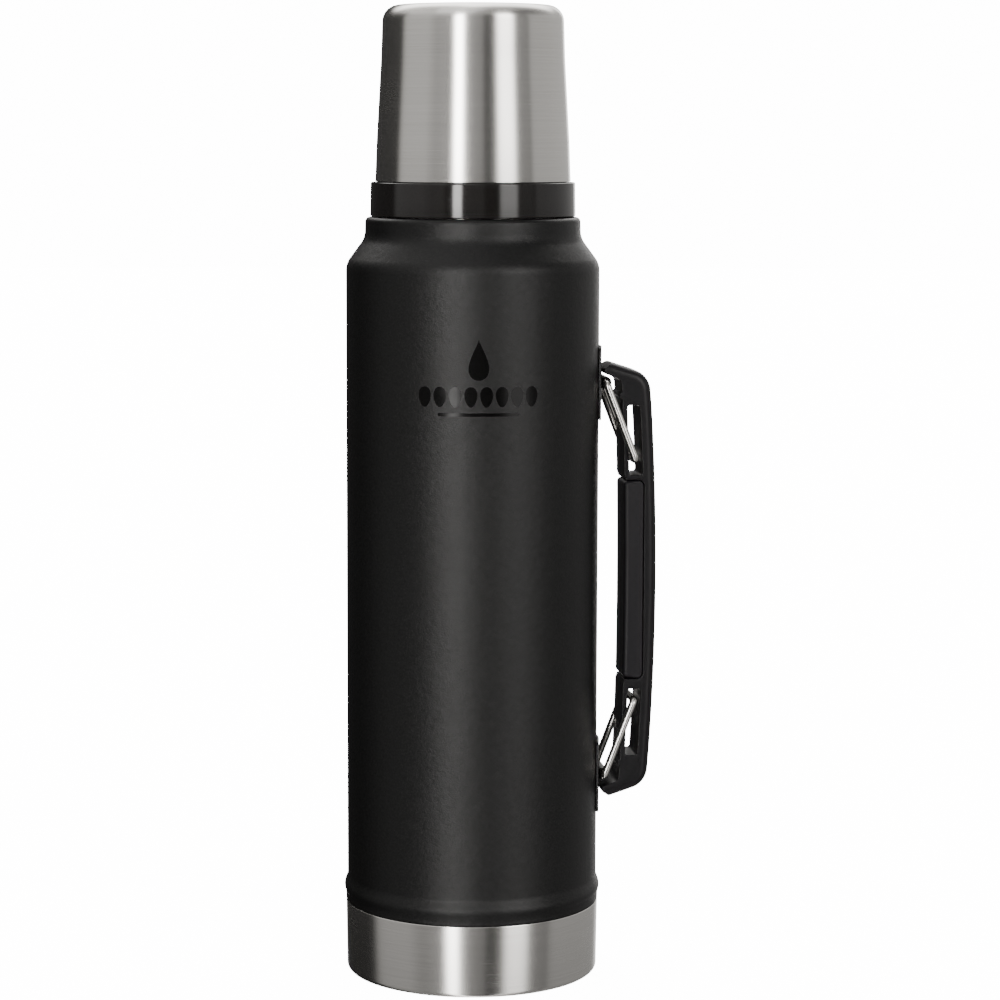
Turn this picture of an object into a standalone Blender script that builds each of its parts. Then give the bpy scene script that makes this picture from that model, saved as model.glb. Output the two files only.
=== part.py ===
"""Vacuum bottle with a screw-on steel cup, a screw stopper and a side handle on two wire bails.

Own frame: metres, +Z up. The origin is on the bottle's axis at the resting plane, and +X runs
through the middle of the handle. Sizes below are millimetres, and MM turns them into metres.
"""
import math

import bmesh
import bpy
from mathutils import Vector

MM = 0.001
GAP = 0.3                      # free space between neighbouring pieces

# Whole bottle
HEIGHT = 363.0
BODY_R = 47.4
SHELL_WALL = 0.6
SEGMENTS = 48
HIDDEN_SEGMENTS = 36           # pieces inside the bottle

# Painted outer shell
COLLAR_R = 40.2
COLLAR_TOP = 286.1
COLLAR_FOOT = 278.8
SHOULDER_FOOT = 267.6
BEAD_R = 48.65
BEAD_Z = 32.4
BEAD_HALF = 4.8
PAINT_EDGE = 27.4
SKIRT_R = 46.7
SKIRT_FOOT = 3.2

# Steel base
BASE_R = 47.85
BASE_TOP = PAINT_EDGE - GAP
BASE_CORNER = 3.0
BASE_WALL = 0.6
FOOT_GROOVE_IN = 33.0
FOOT_GROOVE_OUT = 35.0
FOOT_GROOVE_DEPTH = 0.4

# Neck, mouth and inner flask
NECK_R = 32.4
NECK_TOP = 305.2
NECK_FOOT = 281.0
NECK_WALL = 1.0
MOUTH_R = 28.2
FLASK_WALL = 0.5
FLASK_R = 37.5
FLASK_FLOOR = 16.0
FLASK_CORNER = 9.0
FLASK_SHOULDER = 262.0
MOUTH_FOOT = 276.0

# Screw threads: the cup and the stopper share one lead
LEAD = 6.0
THREAD_HEIGHT = 1.0
THREAD_HALF_ROOT = 1.1
THREAD_HALF_TIP = 0.5
THREAD_SUNK = 0.4
THREAD_STEPS = 24              # steps in one turn

# Stopper
PLUG_R = 26.6
PLUG_FOOT = 262.0
PLUG_WALL = 2.0
FLANGE_R = 31.2
FLANGE_FOOT = 306.8
FLANGE_TOP = 309.2
KNOB_R = 29.4
KNOB_RIB = 0.7
KNOB_RIBS = 18
KNOB_TOP = 330.0
KNOB_WALL = 2.2
SEAL_THICK = 1.0
ORING_R = 1.5
ORING_Z = 269.0

# Cup
CUP_FOOT = 299.3
CUP_FOOT_R = 36.35
CUP_TOP_R = 33.8
CUP_CORNER = 6.5
CUP_WALL = 0.5
BAND_FOOT = COLLAR_TOP + GAP
BAND_TOP = CUP_FOOT - GAP
BAND_R = 38.2
LINER_BORE = 33.9
LINER_WALL = 1.3

# Handle, in the plane through the axis and +X: r is the distance from the axis
HANDLE_Z = 149.5
HANDLE_WIDTH = 17.5
HANDLE_FACE_R = 68.5
HANDLE_BOW = 2.2               # how far the outer face falls back at the windows' far ends
WINDOW_NEAR = 39.8
WINDOW_FAR = 67.4
HORN_TOP = 82.2
HORN_TIP_R = 48.9
SEAM_R = 64.0
GRIP_HALF = 37.7

# Wire bails and their brackets
WIRE_R = 1.4
PIVOT_R = 49.3
PIVOT_UP = 74.7                # pivots above and below HANDLE_Z
CROSSBAR_R = 60.5
BAIL_LENGTH = 31.05
BAIL_HALF = 10.6
BAIL_BEND = 1.8
PIN_END = 2.6
PLATE_THICK = 0.65
PLATE_HALF_HEIGHT = 13.75
PLATE_HALF_ANGLE = 16.0
KNUCKLE_R = 2.4
KNUCKLE_HALF = 7.4


def clear_scene():
    for obj in list(bpy.data.objects):
        bpy.data.objects.remove(obj, do_unlink=True)


def finish_colour(name, colour, roughness, metallic=0.0):
    material = bpy.data.materials.new(name)
    material.use_nodes = True
    shader = material.node_tree.nodes["Principled BSDF"]
    shader.inputs["Base Color"].default_value = (*colour, 1.0)
    shader.inputs["Roughness"].default_value = roughness
    shader.inputs["Metallic"].default_value = metallic
    return material


def add_object(name, bm, material, sharp_angle=35.0, parent=None):
    """Turn a bmesh in world millimetres into an object in metres, shaded smooth."""
    bmesh.ops.recalc_face_normals(bm, faces=bm.faces)
    bmesh.ops.scale(bm, vec=(MM, MM, MM), verts=bm.verts)
    mesh = bpy.data.meshes.new(name)
    bm.to_mesh(mesh)
    bm.free()
    mesh.shade_smooth()
    mesh.set_sharp_from_angle(angle=math.radians(sharp_angle))
    obj = bpy.data.objects.new(name, mesh)
    bpy.context.scene.collection.objects.link(obj)
    if material:
        mesh.materials.append(material)
    if parent:
        obj.parent = parent
        obj.matrix_parent_inverse = parent.matrix_world.inverted()
    return obj


def add_joint_empty(name, location):
    empty = bpy.data.objects.new(name, None)
    empty.location = Vector(location) * MM
    bpy.context.scene.collection.objects.link(empty)
    bpy.context.view_layer.update()
    return empty


def arc(centre, radius, start, end, steps):
    """Points of an arc in the (r, z) plane, angles in degrees."""
    points = []
    for i in range(steps + 1):
        angle = math.radians(start + (end - start) * i / steps)
        points.append((centre[0] + radius * math.cos(angle), centre[1] + radius * math.sin(angle)))
    return points


def turned(name, outline, material, segments=SEGMENTS, parent=None):
    """Spin a closed (r, z) outline about the bottle's axis."""
    bm = bmesh.new()
    verts = [bm.verts.new((r, 0.0, z)) for r, z in outline]
    pairs = zip(verts, verts[1:] + verts[:1])
    edges = [bm.edges.new(pair) for pair in pairs
             if pair[0].co.x > 0.0 or pair[1].co.x > 0.0]
    bmesh.ops.spin(bm, geom=verts + edges, cent=(0, 0, 0), axis=(0, 0, 1),
                   angle=math.tau, steps=segments, use_merge=True)
    bmesh.ops.remove_doubles(bm, verts=bm.verts, dist=1e-3)
    return add_object(name, bm, material, parent=parent)


def thread_ridge(name, wall_r, z_start, turns, inward=False):
    """A helical ridge that grows out of a wall and fades out at both ends."""
    side = -1.0 if inward else 1.0
    steps = int(turns * THREAD_STEPS)
    bm = bmesh.new()
    rings = []
    for i in range(steps + 1):
        angle = math.tau * i / THREAD_STEPS
        z = z_start + LEAD * i / THREAD_STEPS
        fade = min(1.0, i / 4.0, (steps - i) / 4.0)
        tip = wall_r + side * (THREAD_HEIGHT * fade - 0.2 * (1.0 - fade))
        root = wall_r - side * THREAD_SUNK
        ring = []
        for r, dz in ((root, -THREAD_HALF_ROOT), (tip, -THREAD_HALF_TIP),
                      (tip, THREAD_HALF_TIP), (root, THREAD_HALF_ROOT)):
            ring.append(bm.verts.new((r * math.cos(angle), r * math.sin(angle), z + dz)))
        rings.append(ring)
    for low, high in zip(rings, rings[1:]):
        for j in range(4):
            k = (j + 1) % 4
            bm.faces.new((low[j], low[k], high[k], high[j]))
    bm.faces.new(rings[0])
    bm.faces.new(rings[-1])
    return add_object(name, bm, None)


def prism(name, outline, half_width, material=None, y_centre=0.0, parent=None):
    """An (x, z) outline pushed out along Y on both sides of y_centre."""
    bm = bmesh.new()
    face = bm.faces.new([bm.verts.new((x, y_centre - half_width, z)) for x, z in outline])
    pushed = bmesh.ops.extrude_face_region(bm, geom=[face])
    moved = [item for item in pushed["geom"] if isinstance(item, bmesh.types.BMVert)]
    bmesh.ops.translate(bm, vec=(0.0, 2.0 * half_width, 0.0), verts=moved)
    return add_object(name, bm, material, parent=parent)


def rod_along_y(name, x, z, radius, half_length, segments=20):
    circle = [(x + radius * math.cos(math.tau * i / segments),
               z + radius * math.sin(math.tau * i / segments)) for i in range(segments)]
    return prism(name, circle, half_length)


def combine(obj, other, operation):
    """Join or cut with a guide object, which stays out of the model."""
    other.hide_render = True
    other.display_type = "WIRE"
    other.hide_viewport = True
    step = obj.modifiers.new(other.name, "BOOLEAN")
    step.operation = operation
    step.object = other
    step.solver = "EXACT"


def round_edges(obj, width, segments=2, angle=50.0):
    bevel = obj.modifiers.new("edge rounding", "BEVEL")
    bevel.width = width * MM
    bevel.segments = segments
    bevel.limit_method = "ANGLE"
    bevel.angle_limit = math.radians(angle)


# Flask -----------------------------------------------------------------------------------------

def outer_shell(paint):
    bead = []
    for i in range(6):
        share = i / 5.0
        z = BEAD_Z + BEAD_HALF * (1.0 - 2.0 * share)
        bead.append((BODY_R + (BEAD_R - BODY_R) * math.sin(math.pi * share), z))
    shoulder = [(42.4, 275.7), (46.0, 270.6)]
    outside = [(NECK_R + GAP, COLLAR_TOP)]
    outside += arc((COLLAR_R - 1.6, COLLAR_TOP - 1.5), 1.5, 90.0, 10.0, 3)
    outside += [(COLLAR_R + 0.15, COLLAR_FOOT)] + shoulder
    outside += arc((BODY_R - 4.0, SHOULDER_FOOT - 1.0), 4.0, 30.0, 0.0, 2)
    outside += bead + [(BODY_R, PAINT_EDGE), (SKIRT_R, PAINT_EDGE), (SKIRT_R, SKIRT_FOOT)]
    skirt_in = SKIRT_R - SHELL_WALL
    body_in = BODY_R - SHELL_WALL
    collar_in = COLLAR_R - 2.0 * SHELL_WALL
    inside = [(skirt_in, SKIRT_FOOT), (skirt_in, PAINT_EDGE + 0.6), (body_in, PAINT_EDGE + 1.3),
              (body_in, SHOULDER_FOOT - 1.0)]
    inside += [(r - 0.85 * SHELL_WALL, z - 0.55 * SHELL_WALL) for r, z in reversed(shoulder)]
    inside += [(collar_in, COLLAR_FOOT - 0.4), (collar_in, COLLAR_TOP - 1.4),
               (NECK_R + GAP, COLLAR_TOP - 1.4)]
    return turned("outer_shell", outside + inside, paint)


def neck_sleeve(steel):
    lip_r = MOUTH_R + FLASK_WALL + GAP
    outline = [(NECK_R - NECK_WALL, NECK_FOOT), (NECK_R, NECK_FOOT)]
    outline += arc((NECK_R - 1.0, NECK_TOP - 1.0), 1.0, 0.0, 90.0, 3)
    outline += arc((lip_r + 0.5, NECK_TOP - 0.5), 0.5, 90.0, 180.0, 2)
    outline += [(lip_r, NECK_TOP - 1.4), (NECK_R - NECK_WALL, NECK_TOP - 1.4)]
    sleeve = turned("neck_sleeve", outline, steel, segments=HIDDEN_SEGMENTS)
    ridge = thread_ridge("neck_thread_guide", NECK_R, 289.2, 2.1)
    combine(sleeve, ridge, "UNION")
    return sleeve


def inner_flask(steel):
    floor_centre = (FLASK_R - FLASK_CORNER, FLASK_FLOOR + FLASK_CORNER)
    inside = [(0.0, FLASK_FLOOR + 1.5), (14.0, FLASK_FLOOR + 1.0), (24.0, FLASK_FLOOR)]
    inside += arc(floor_centre, FLASK_CORNER, -90.0, 0.0, 3)
    inside += [(FLASK_R, FLASK_SHOULDER), (FLASK_R - 1.4, FLASK_SHOULDER + 4.0),
               (MOUTH_R + 1.2, MOUTH_FOOT - 1.6), (MOUTH_R, MOUTH_FOOT + 0.6),
               (MOUTH_R, NECK_TOP - 0.3)]
    outside = [(MOUTH_R + FLASK_WALL, NECK_TOP - 0.3), (MOUTH_R + FLASK_WALL, MOUTH_FOOT + 0.8)]
    outside += [(r + 0.78 * FLASK_WALL, z + 0.62 * FLASK_WALL)
                for r, z in ((MOUTH_R + 1.2, MOUTH_FOOT - 1.6), (FLASK_R - 1.4, FLASK_SHOULDER + 4.0))]
    outside += [(FLASK_R + FLASK_WALL, FLASK_SHOULDER + 0.2)]
    outside += arc(floor_centre, FLASK_CORNER + FLASK_WALL, 0.0, -90.0, 3)
    outside += [(24.0, FLASK_FLOOR - FLASK_WALL), (14.0, FLASK_FLOOR + 1.0 - FLASK_WALL),
                (0.0, FLASK_FLOOR + 1.5 - FLASK_WALL)]
    flask = turned("inner_flask", inside + outside, steel, segments=HIDDEN_SEGMENTS)
    ridge = thread_ridge("mouth_thread_guide", MOUTH_R, 290.0, 1.7, inward=True)
    combine(flask, ridge, "UNION")
    return flask


def vacuum_base_plate(steel):
    rim = SKIRT_R - SHELL_WALL - GAP
    outline = [(0.0, 8.6), (20.0, 8.6), (rim - 6.0, 7.0), (rim - 2.0, 5.0), (rim, 5.0),
               (rim, 4.2), (rim - 2.4, 4.2), (rim - 6.4, 6.2), (20.0, 7.8), (0.0, 7.8)]
    return turned("vacuum_base_plate", outline, steel, segments=HIDDEN_SEGMENTS)


def getter_pieces(steel, grey):
    foot = 8.6 + GAP
    turned("getter_holder", [(0.0, foot), (9.0, foot), (9.0, foot + 2.6), (8.4, foot + 2.6),
                             (8.4, foot + 0.6), (0.0, foot + 0.6)], steel, segments=24)
    turned("getter_pellet", [(0.0, foot + 0.9), (7.6, foot + 0.9), (7.6, foot + 2.1),
                             (7.2, foot + 2.5), (0.0, foot + 2.5)], grey, segments=24)


def steel_base(steel):
    inner_r = BASE_R - BASE_WALL
    outline = [(0.0, 0.0), (FOOT_GROOVE_IN, 0.0),
               (FOOT_GROOVE_IN + 0.5, FOOT_GROOVE_DEPTH), (FOOT_GROOVE_OUT - 0.5, FOOT_GROOVE_DEPTH),
               (FOOT_GROOVE_OUT, 0.0)]
    outline += arc((BASE_R - BASE_CORNER, BASE_CORNER), BASE_CORNER, -90.0, 0.0, 4)
    outline += [(BASE_R + 0.1, BASE_TOP - 0.3), (BASE_R - 0.1, BASE_TOP), (inner_r, BASE_TOP)]
    outline += arc((BASE_R - BASE_CORNER, BASE_CORNER), BASE_CORNER - BASE_WALL, 0.0, -90.0, 2)
    outline += [(0.0, BASE_WALL)]
    return turned("steel_base", outline, steel)


def curved_plate(name, z, material):
    """A plate that lies on the shell, centred on +X."""
    inner = BODY_R + GAP
    steps = 10
    outline = []
    for i in range(steps + 1):
        angle = math.radians(PLATE_HALF_ANGLE * (2.0 * i / steps - 1.0))
        outline.append((inner, angle))
    for i in range(steps + 1):
        angle = math.radians(PLATE_HALF_ANGLE * (1.0 - 2.0 * i / steps))
        outline.append((inner + PLATE_THICK, angle))
    bm = bmesh.new()
    foot = z - PLATE_HALF_HEIGHT
    face = bm.faces.new([bm.verts.new((r * math.cos(a), r * math.sin(a), foot)) for r, a in outline])
    pushed = bmesh.ops.extrude_face_region(bm, geom=[face])
    moved = [item for item in pushed["geom"] if isinstance(item, bmesh.types.BMVert)]
    bmesh.ops.translate(bm, vec=(0.0, 0.0, 2.0 * PLATE_HALF_HEIGHT), verts=moved)
    return add_object(name, bm, material)


def bracket(name, z, paint):
    """Plate with a knuckle that holds both wire ends; the knuckle is open towards the shell."""
    plate = curved_plate(name, z, paint)
    knuckle = rod_along_y(name + "_knuckle_guide", PIVOT_R, z, KNUCKLE_R, KNUCKLE_HALF)
    combine(plate, knuckle, "UNION")
    bore = rod_along_y(name + "_bore_guide", PIVOT_R, z, WIRE_R + GAP, BAIL_HALF + 6.0)
    combine(plate, bore, "DIFFERENCE")
    clearance = BODY_R + GAP
    shell_guide = turned(name + "_shell_guide",
                         [(0.0, z - 20.0), (clearance, z - 20.0), (clearance, z + 20.0),
                          (0.0, z + 20.0)], None)
    combine(plate, shell_guide, "DIFFERENCE")
    return plate


# Stopper ---------------------------------------------------------------------------------------

def stopper_body(plastic, parent):
    inner = PLUG_R - PLUG_WALL
    groove = ORING_R * 0.85
    outline = [(0.0, PLUG_FOOT), (PLUG_R - 2.0, PLUG_FOOT), (PLUG_R, PLUG_FOOT + 2.0),
               (PLUG_R, ORING_Z - groove), (PLUG_R - 1.2, ORING_Z - groove),
               (PLUG_R - 1.2, ORING_Z + groove), (PLUG_R, ORING_Z + groove),
               (PLUG_R, FLANGE_FOOT), (FLANGE_R, FLANGE_FOOT), (FLANGE_R, FLANGE_TOP - 0.5),
               (FLANGE_R - 0.5, FLANGE_TOP), (inner, FLANGE_TOP), (inner, PLUG_FOOT + 4.0),
               (inner - 2.0, PLUG_FOOT + PLUG_WALL), (0.0, PLUG_FOOT + PLUG_WALL)]
    plug = turned("stopper_body", outline, plastic, segments=HIDDEN_SEGMENTS, parent=parent)
    ridge = thread_ridge("stopper_thread_guide", PLUG_R, 287.0, 1.9)
    combine(plug, ridge, "UNION")
    for side in (-1.0, 1.0):
        channel = prism("pour_channel_guide_%d" % side,
                        [(side * (PLUG_R - 1.0), 274.0), (side * (PLUG_R + 4.0), 274.0),
                         (side * (PLUG_R + 4.0), 300.0), (side * (PLUG_R - 1.0), 300.0)], 4.0)
        combine(plug, channel, "DIFFERENCE")
    return plug


def stopper_cap(plastic, parent):
    """Ribbed knob: a closed top, open underneath onto the flange."""
    count = KNOB_RIBS * 3
    foot = FLANGE_TOP + GAP

    def ring(bm, radius, z, rib):
        verts = []
        for i in range(count):
            angle = math.tau * i / count
            r = radius + rib * math.cos(angle * KNOB_RIBS)
            verts.append(bm.verts.new((r * math.cos(angle), r * math.sin(angle), z)))
        return verts

    bm = bmesh.new()
    inner = KNOB_R - KNOB_WALL
    rows = [ring(bm, inner, KNOB_TOP - 3.0, 0.0), ring(bm, inner, foot, 0.0),
            ring(bm, KNOB_R, foot, KNOB_RIB), ring(bm, KNOB_R - 0.6, KNOB_TOP - 3.0, KNOB_RIB),
            ring(bm, KNOB_R - 1.6, KNOB_TOP - 0.8, 0.2), ring(bm, KNOB_R - 3.4, KNOB_TOP, 0.0)]
    for low, high in zip(rows, rows[1:]):
        for i in range(count):
            j = (i + 1) % count
            bm.faces.new((low[i], low[j], high[j], high[i]))
    bm.faces.new(rows[0])
    bm.faces.new(rows[-1])
    return add_object("stopper_cap", bm, plastic, parent=parent)


def ring_outline(inner, outer, foot, top, corner=0.3):
    return [(inner, foot), (outer - corner, foot), (outer, foot + corner), (outer, top - corner),
            (outer - corner, top), (inner, top)]


def stopper_pieces(plastic, foam, rubber, parent):
    stopper_body(plastic, parent)
    stopper_cap(plastic, parent)
    inner = PLUG_R - PLUG_WALL - GAP
    turned("stopper_foam", [(0.0, PLUG_FOOT + PLUG_WALL + GAP), (inner - 2.4, PLUG_FOOT + PLUG_WALL + GAP),
                            (inner, PLUG_FOOT + 5.0), (inner, KNOB_TOP - 8.0), (0.0, KNOB_TOP - 8.0)],
           foam, segments=24, parent=parent)
    turned("stopper_oring", arc((PLUG_R + 0.05, ORING_Z), 1.15, 0.0, 315.0, 7), rubber, segments=HIDDEN_SEGMENTS,
           parent=parent)


# Cup -------------------------------------------------------------------------------------------

def cup_radius(z):
    """Outer radius of the tapered steel cup at a height."""
    share = (z - CUP_FOOT) / (HEIGHT - CUP_CORNER - CUP_FOOT)
    return CUP_FOOT_R + (CUP_TOP_R - CUP_FOOT_R) * share


def cup_shell(steel, parent):
    corner = (CUP_TOP_R - CUP_CORNER, HEIGHT - CUP_CORNER)
    outside = [(CUP_FOOT_R, CUP_FOOT)] + arc(corner, CUP_CORNER, 0.0, 90.0, 5) + [(0.0, HEIGHT)]
    inside = [(0.0, HEIGHT - CUP_WALL)] + arc(corner, CUP_CORNER - CUP_WALL, 90.0, 0.0, 5)
    inside += [(CUP_FOOT_R - CUP_WALL, CUP_FOOT)]
    return turned("cup_shell", outside + inside, steel, parent=parent)


def cup_liner(plastic, parent):
    skin = CUP_WALL + GAP
    corner = (CUP_TOP_R - CUP_CORNER, HEIGHT - CUP_CORNER)
    ledge = NECK_TOP + GAP + SEAL_THICK + GAP
    outside = [(LINER_BORE, BAND_FOOT), (BAND_R - 0.6, BAND_FOOT), (BAND_R + 0.1, BAND_FOOT + 0.7),
               (BAND_R - 0.1, BAND_TOP - 0.6), (BAND_R - 0.6, BAND_TOP),
               (CUP_FOOT_R - skin, BAND_TOP)]
    outside += arc(corner, CUP_CORNER - skin, 0.0, 90.0, 4) + [(0.0, HEIGHT - skin)]
    inside = [(0.0, HEIGHT - skin - LINER_WALL)]
    inside += arc(corner, CUP_CORNER - skin - LINER_WALL, 90.0, 0.0, 3)
    inside += [(cup_radius(ledge + 4.0) - skin - LINER_WALL, ledge + 4.0), (NECK_R + 0.3, ledge + 1.5),
               (NECK_R + 0.3, ledge), (LINER_BORE, ledge)]
    liner = turned("cup_liner", outside + inside, plastic, parent=parent)
    ridge = thread_ridge("cup_thread_guide", LINER_BORE, 292.0, 1.6, inward=True)
    combine(liner, ridge, "UNION")
    return liner


# Handle and bails ------------------------------------------------------------------------------

def face_r(dz):
    """Bowed outer face of the handle at a height from its middle."""
    return HANDLE_FACE_R - HANDLE_BOW * (dz / WINDOW_FAR) ** 2


def frame_half():
    """Upper half of the handle frame's outline, from the outer middle round to the seam."""
    face = [(face_r(dz), dz) for dz in (0.0, 20.0, 40.0, 54.0, WINDOW_FAR)]
    corner = [(65.9, 71.2), (64.9, 74.2), (62.6, 77.2), (59.4, 79.7)]
    horn = [(55.0, 81.4), (51.4, HORN_TOP), (49.7, 81.8), (HORN_TIP_R, 80.6), (HORN_TIP_R, 79.4),
            (50.0, 78.6), (53.6, 77.9), (55.4, 76.8), (56.1, 74.6)]
    inner = [(56.3, WINDOW_FAR), (56.9, 54.0), (57.3, WINDOW_NEAR + 0.8), (58.4, WINDOW_NEAR - 0.6),
             (58.8, GRIP_HALF + GAP), (SEAM_R + GAP, GRIP_HALF + GAP)]
    return face + corner + horn + inner


def window_outline(side):
    """Slot that the bail's crossbar slides in."""
    def inner_wall(dz):
        return 58.7 - 1.3 * (dz - WINDOW_NEAR) / (WINDOW_FAR - WINDOW_NEAR)

    def outer_wall(dz):
        return face_r(dz) - 4.0
    near = WINDOW_NEAR
    far = WINDOW_FAR
    half = [(inner_wall(near) + 1.0, near), (outer_wall(near) - 1.0, near), (outer_wall(near), near + 1.0),
            (outer_wall(far), far - 1.2), (outer_wall(far) - 1.2, far), (inner_wall(far) + 1.2, far),
            (inner_wall(far), far - 1.2), (inner_wall(near), near + 1.0)]
    return [(r, HANDLE_Z + side * dz) for r, dz in half]


def handle_frame(plastic, parent):
    half = frame_half()
    mirrored = [(r, -dz) for r, dz in reversed(half[1:])]
    outline = [(r, HANDLE_Z + dz) for r, dz in half + mirrored]
    frame = prism("handle_frame", outline, HANDLE_WIDTH / 2.0, plastic, parent=parent)
    round_edges(frame, 1.0, segments=2, angle=60.0)
    for side in (-1.0, 1.0):
        window = prism("window_guide_%d" % side, window_outline(side), HANDLE_WIDTH)
        combine(frame, window, "DIFFERENCE")
    return frame


def handle_grip(rubber, parent):
    steps = 8
    inner = []
    for i in range(steps + 1):
        dz = GRIP_HALF * (2.0 * i / steps - 1.0)
        inner.append((57.3 - 0.3 * (dz / GRIP_HALF) ** 2, HANDLE_Z + dz))
    outline = inner + [(SEAM_R, HANDLE_Z + GRIP_HALF), (SEAM_R, HANDLE_Z - GRIP_HALF)]
    grip = prism("handle_grip", outline, HANDLE_WIDTH / 2.0, rubber, parent=parent)
    round_edges(grip, 1.6, segments=3, angle=60.0)
    return grip


def rounded_path(corners, radius, steps):
    """Points through corners, each inner corner turned into an arc of the given radius."""
    points = [corners[0]]
    for before, corner, after in zip(corners, corners[1:], corners[2:]):
        back = (before - corner).normalized()
        ahead = (after - corner).normalized()
        half = back.angle(ahead) / 2.0
        reach = radius / math.tan(half)
        centre = corner + (back + ahead).normalized() * (radius / math.sin(half))
        first = (corner + back * reach - centre).normalized()
        last = (corner + ahead * reach - centre).normalized()
        for i in range(steps + 1):
            points.append(centre + first.slerp(last, i / steps) * radius)
    points.append(corners[-1])
    return points


def bail(name, side, steel):
    """Bent wire: two pins, two arms and the crossbar that runs through the handle's window."""
    pivot = Vector((PIVOT_R, 0.0, HANDLE_Z + side * PIVOT_UP))
    out = CROSSBAR_R - PIVOT_R
    along = math.sqrt(BAIL_LENGTH ** 2 - out ** 2)
    arm = Vector((out, 0.0, -side * along))
    wide = Vector((0.0, BAIL_HALF, 0.0))
    pin = Vector((0.0, PIN_END, 0.0))
    corners = [pivot + pin, pivot + wide, pivot + arm + wide, pivot + arm - wide, pivot - wide,
               pivot - pin]
    points = rounded_path(corners, BAIL_BEND, 4)
    curve = bpy.data.curves.new(name, "CURVE")
    curve.dimensions = "3D"
    curve.bevel_depth = WIRE_R * MM
    curve.bevel_resolution = 3
    curve.use_fill_caps = True
    curve.materials.append(steel)
    spline = curve.splines.new("POLY")
    spline.points.add(len(points) - 1)
    for slot, point in zip(spline.points, points):
        slot.co = (*((point - pivot) * MM), 1.0)
        slot.radius = 1.0
    obj = bpy.data.objects.new(name, curve)
    obj.location = pivot * MM
    bpy.context.scene.collection.objects.link(obj)
    return obj


def main():
    clear_scene()
    paint = finish_colour("black powder coat", (0.012, 0.012, 0.013), 0.45)
    brushed = finish_colour("brushed steel", (0.62, 0.60, 0.57), 0.28, 1.0)
    bare = finish_colour("bare steel", (0.60, 0.59, 0.57), 0.35, 1.0)
    gloss = finish_colour("gloss black plastic", (0.01, 0.01, 0.011), 0.12)
    satin = finish_colour("satin black plastic", (0.018, 0.017, 0.019), 0.45)
    soft = finish_colour("soft black grip", (0.03, 0.028, 0.032), 0.6)
    rubber = finish_colour("grey silicone", (0.28, 0.28, 0.28), 0.55)
    foam = finish_colour("insulating foam", (0.75, 0.70, 0.55), 0.9)
    pellet = finish_colour("getter metal", (0.20, 0.20, 0.21), 0.7, 1.0)

    outer_shell(paint)
    neck_sleeve(bare)
    inner_flask(bare)
    vacuum_base_plate(bare)
    getter_pieces(bare, pellet)
    steel_base(brushed)
    bracket("bracket_upper", HANDLE_Z + PIVOT_UP, paint)
    bracket("bracket_lower", HANDLE_Z - PIVOT_UP, paint)

    stopper_axis = add_joint_empty("stopper_axis", (0.0, 0.0, NECK_TOP))
    stopper_pieces(satin, foam, rubber, stopper_axis)
    turned("stopper_seal", ring_outline(PLUG_R + 1.4, FLANGE_R, NECK_TOP + GAP,
                                        NECK_TOP + GAP + SEAL_THICK), rubber, segments=HIDDEN_SEGMENTS,
           parent=stopper_axis)

    cup_axis = add_joint_empty("cup_axis", (0.0, 0.0, BAND_FOOT))
    cup_shell(brushed, cup_axis)
    cup_liner(gloss, cup_axis)
    turned("cup_seal", ring_outline(FLANGE_R + GAP, LINER_BORE - GAP, NECK_TOP + GAP,
                                    NECK_TOP + GAP + SEAL_THICK), rubber, segments=HIDDEN_SEGMENTS,
           parent=cup_axis)

    handle_axis = add_joint_empty("handle_axis", (CROSSBAR_R, 0.0, HANDLE_Z))
    handle_frame(satin, handle_axis)
    handle_grip(soft, handle_axis)
    bail("bail_upper", 1.0, bare)
    bail("bail_lower", -1.0, bare)


main()
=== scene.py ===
"""Looks of a vacuum bottle: painted shell, brushed steel cup and base, side handle on wire bails.

Lengths are millimetres in the part's own frame and MM turns them into metres. +Z is up, +X runs
through the handle, and (r, z) outlines are turned about the bottle's axis.
"""
import math

import bmesh
import bpy
from mathutils import Matrix, Vector


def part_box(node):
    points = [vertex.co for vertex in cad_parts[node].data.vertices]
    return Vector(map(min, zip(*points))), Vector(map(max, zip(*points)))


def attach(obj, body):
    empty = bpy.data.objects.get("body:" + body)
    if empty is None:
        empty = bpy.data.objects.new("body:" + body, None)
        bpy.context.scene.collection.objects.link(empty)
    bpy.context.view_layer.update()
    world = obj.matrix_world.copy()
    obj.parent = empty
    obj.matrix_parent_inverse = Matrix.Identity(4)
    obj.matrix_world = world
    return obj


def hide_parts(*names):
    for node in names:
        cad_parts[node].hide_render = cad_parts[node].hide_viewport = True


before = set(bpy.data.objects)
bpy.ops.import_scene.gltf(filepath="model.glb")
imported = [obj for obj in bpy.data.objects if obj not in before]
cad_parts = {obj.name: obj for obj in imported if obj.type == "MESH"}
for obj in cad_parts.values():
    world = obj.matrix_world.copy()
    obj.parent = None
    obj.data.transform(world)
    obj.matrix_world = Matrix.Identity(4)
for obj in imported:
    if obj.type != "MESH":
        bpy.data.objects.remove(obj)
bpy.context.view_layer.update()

MM = 0.001
TURN_STEPS = 192                # faces round a turned piece


def node_span(node):
    """Lowest and highest corners of a CAD node, in millimetres."""
    low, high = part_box(node)
    return low / MM, high / MM


shell_low, shell_high = node_span("outer_shell")
cup_low, cup_high = node_span("cup_shell")
liner_foot = node_span("cup_liner")[0]
neck_low, neck_high = node_span("neck_sleeve")
frame_low, frame_high = node_span("handle_frame")
grip_low, grip_high = node_span("handle_grip")

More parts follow.
